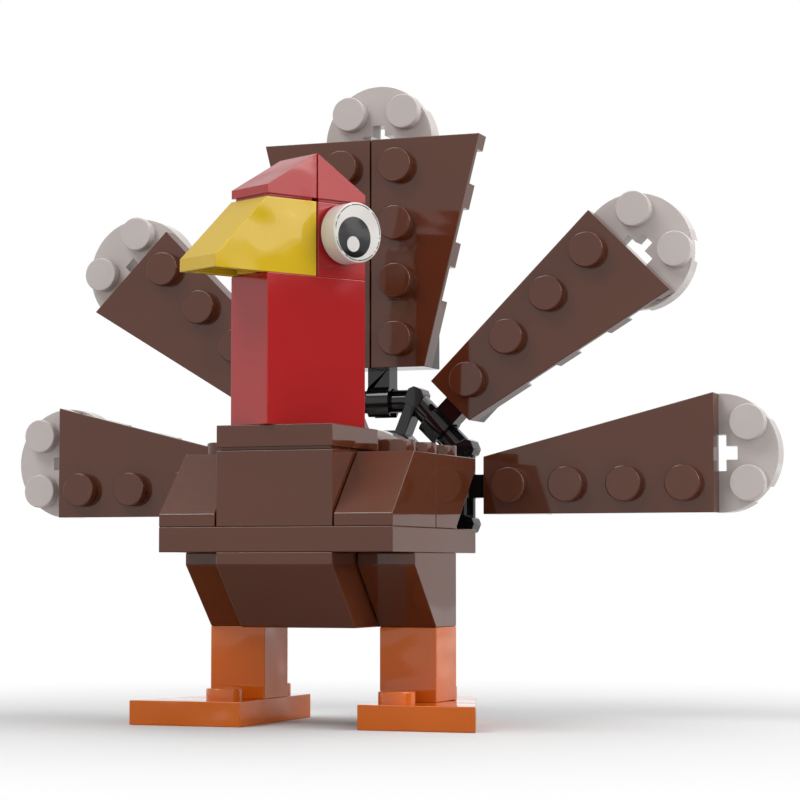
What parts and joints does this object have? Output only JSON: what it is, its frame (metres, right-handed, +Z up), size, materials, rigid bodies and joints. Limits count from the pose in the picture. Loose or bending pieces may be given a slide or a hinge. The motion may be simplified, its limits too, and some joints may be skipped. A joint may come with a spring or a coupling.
{
  "type": "building block turkey",
  "caption": "Turkey built from studded blocks on two splayed feet, with a turning red head, yellow beak, round eyes and a fan of brown tail feathers clipped to an octagonal ring.",
  "frame": {"origin": "middle of the bounding box in X and Y, on the surface that the feet stand on", "axes": "+Z up, -Y the way the breast faces, +X the bird's left; the head is stored turned 30 degrees to the bird's right, and the tail fan stands in a plane across Y"},
  "size_m": [0.1124, 0.0494, 0.0878],
  "materials": {
    "brown": "gloss",
    "red": "gloss",
    "yellow": "gloss",
    "orange": "gloss",
    "grey": "gloss",
    "black": "gloss",
    "white": "gloss, with a printed eye"
  },
  "bodies": {
    "body": {"belly_front": "brown", "belly_back": "brown", "belly_left": "brown", "belly_right": "brown", "deck_plate": "brown", "chest_brick": "brown", "shoulder_left": "brown", "shoulder_right": "brown", "rump_left": "brown", "rump_right": "brown", "back_brick": "brown", "tail_brick": "brown", "neck_jumper": "brown", "tail_pin": "black", "turntable_base": "grey"},
    "head": {"neck_brick": "red", "beak": "yellow", "eye_brick": "red", "crown_front": "red", "crown_back": "red"},
    "left eye": {"eye_left": "white"},
    "right eye": {"eye_right": "white"},
    "left leg": {"leg_left": "orange"},
    "right leg": {"leg_right": "orange"},
    "left foot": {"foot_left": "orange"},
    "right foot": {"foot_right": "orange"},
    "tail": {"turntable_disc": "grey", "tail_frame": "black"},
    "low left clip": {"clip_low_left": "black"},
    "low left feather": {"feather_low_left": "brown", "tip_low_left": "grey"},
    "high left clip": {"clip_high_left": "black"},
    "high left feather": {"feather_high_left": "brown", "tip_high_left": "grey"},
    "high right clip": {"clip_high_right": "black"},
    "high right feather": {"feather_high_right": "brown", "tip_high_right": "grey"},
    "low right clip": {"clip_low_right": "black"},
    "low right feather": {"feather_low_right": "brown", "tip_low_right": "grey"},
    "top feather": {"clip_top": "black", "feather_top_left": "brown", "feather_top_right": "brown", "tip_top": "grey"}
  },
  "joints": [
    {"name": "head_turn", "type": "hinge", "parent": "body", "child": "head", "pos_m": [0, -0.00894, 0.0384], "axis": [0, 0, 1], "continuous": true},
    {"name": "left_eye_spin", "type": "hinge", "parent": "head", "child": "left eye", "pos_m": [0.002, -0.00548, 0.0632], "axis": [0.866, -0.5, 0], "continuous": true},
    {"name": "right_eye_spin", "type": "hinge", "parent": "head", "child": "right eye", "pos_m": [0.002, -0.00548, 0.0632], "axis": [0.866, -0.5, 0], "continuous": true},
    {"name": "left_hip_turn", "type": "hinge", "parent": "body", "child": "left leg", "pos_m": [0.012, 0.00306, 0.0128], "axis": [0, 0, 1], "range_deg": [-20, 20]},
    {"name": "left_foot_turn", "type": "hinge", "parent": "left leg", "child": "left foot", "pos_m": [0.012, 0.00306, 0.0032], "axis": [0, 0, 1], "range_deg": [-30, 30]},
    {"name": "right_hip_turn", "type": "hinge", "parent": "body", "child": "right leg", "pos_m": [-0.012, 0.00306, 0.0128], "axis": [0, 0, 1], "range_deg": [-20, 20]},
    {"name": "right_foot_turn", "type": "hinge", "parent": "right leg", "child": "right foot", "pos_m": [-0.012, 0.00306, 0.0032], "axis": [0, 0, 1], "range_deg": [-30, 30]},
    {"name": "tail_turn", "type": "hinge", "parent": "body", "child": "tail", "pos_m": [0, 0.02146, 0.0316], "axis": [0, 1, 0], "range_deg": [-30, 30]},
    {"name": "low_left_tilt", "type": "hinge", "parent": "tail", "child": "low left clip", "pos_m": [0.012, 0.02146, 0.0316], "axis": [0, 0, -1], "range_deg": [-40, 0]},
    {"name": "low_left_fan", "type": "hinge", "parent": "low left clip", "child": "low left feather", "pos_m": [0.0203, 0.02146, 0.0316], "axis": [0, 1, 0], "range_deg": [-5, 5]},
    {"name": "high_left_tilt", "type": "hinge", "parent": "tail", "child": "high left clip", "pos_m": [0.00849, 0.02146, 0.04009], "axis": [0.7071, 0, -0.7071], "range_deg": [-40, 10]},
    {"name": "high_left_fan", "type": "hinge", "parent": "high left clip", "child": "high left feather", "pos_m": [0.01435, 0.02146, 0.04595], "axis": [0, 1, 0], "range_deg": [-5, 5]},
    {"name": "high_right_tilt", "type": "hinge", "parent": "tail", "child": "high right clip", "pos_m": [-0.00849, 0.02146, 0.04009], "axis": [0.7071, 0, 0.7071], "range_deg": [-40, 10]},
    {"name": "high_right_fan", "type": "hinge", "parent": "high right clip", "child": "high right feather", "pos_m": [-0.01435, 0.02146, 0.04595], "axis": [0, 1, 0], "range_deg": [-5, 5]},
    {"name": "low_right_tilt", "type": "hinge", "parent": "tail", "child": "low right clip", "pos_m": [-0.012, 0.02146, 0.0316], "axis": [0, 0, 1], "range_deg": [-40, 0]},
    {"name": "low_right_fan", "type": "hinge", "parent": "low right clip", "child": "low right feather", "pos_m": [-0.0203, 0.02146, 0.0316], "axis": [0, 1, 0], "range_deg": [-5, 5]},
    {"name": "top_tilt", "type": "hinge", "parent": "tail", "child": "top feather", "pos_m": [0, 0.02146, 0.0436], "axis": [1, 0, 0], "range_deg": [-40, 15]}
  ]
}
